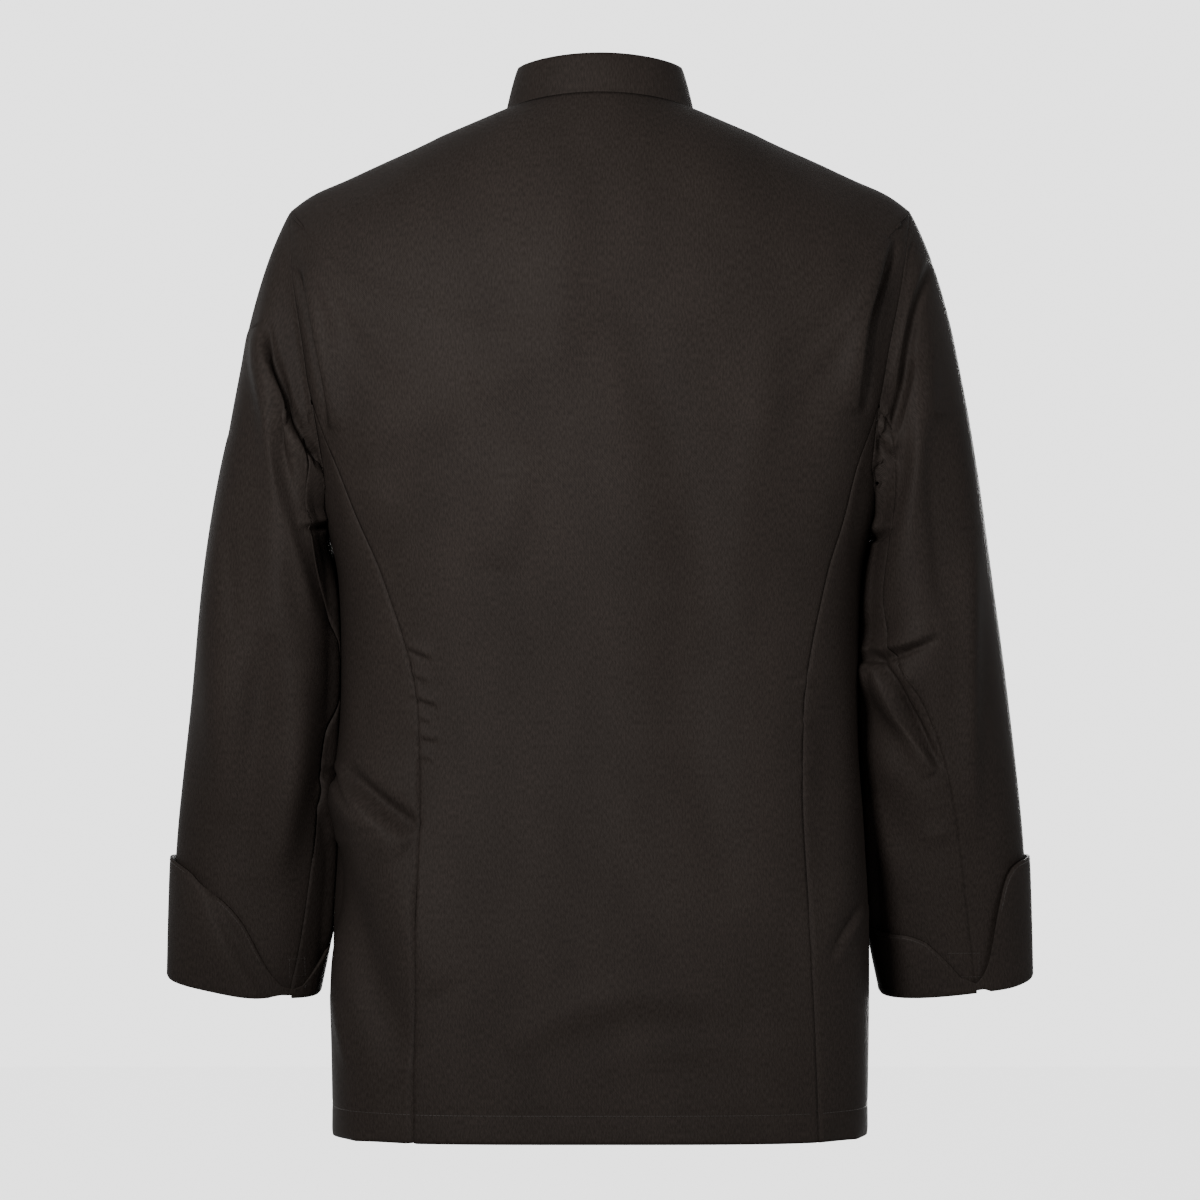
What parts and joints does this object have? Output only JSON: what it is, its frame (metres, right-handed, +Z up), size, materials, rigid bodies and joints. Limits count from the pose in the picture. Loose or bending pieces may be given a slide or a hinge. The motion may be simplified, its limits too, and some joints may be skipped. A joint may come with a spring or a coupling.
{
  "type": "chef jacket",
  "caption": "Double-breasted chef jacket in dark twill, with a stand collar, shaped back seams, long sleeves and notched turned-back cuffs.",
  "frame": {"origin": "middle of the neck opening, between the tops of the shoulder seams and level with the collar's seam at the nape", "axes": "+Z up along the wearer's back, the front faces -Y, +X towards the wearer's left arm"},
  "size_m": [0.6554, 0.2737, 0.799],
  "materials": {
    "twill": "dyed cotton and polyester twill with a low sheen",
    "button": "cast resin, satin"
  },
  "bodies": {
    "root": {"back": "twill", "side_left": "twill", "side_right": "twill", "front_left": "twill", "front_right": "twill", "collar": "twill", "sleeve_top_left": "twill", "sleeve_under_left": "twill", "sleeve_top_right": "twill", "sleeve_under_right": "twill", "cuff_left": "twill", "cuff_right": "twill", "button_left_1": "button", "button_right_1": "button", "button_left_2": "button", "button_right_2": "button", "button_left_3": "button", "button_right_3": "button", "button_left_4": "button", "button_right_4": "button", "button_left_5": "button", "button_right_5": "button"}
  },
  "joints": []
}
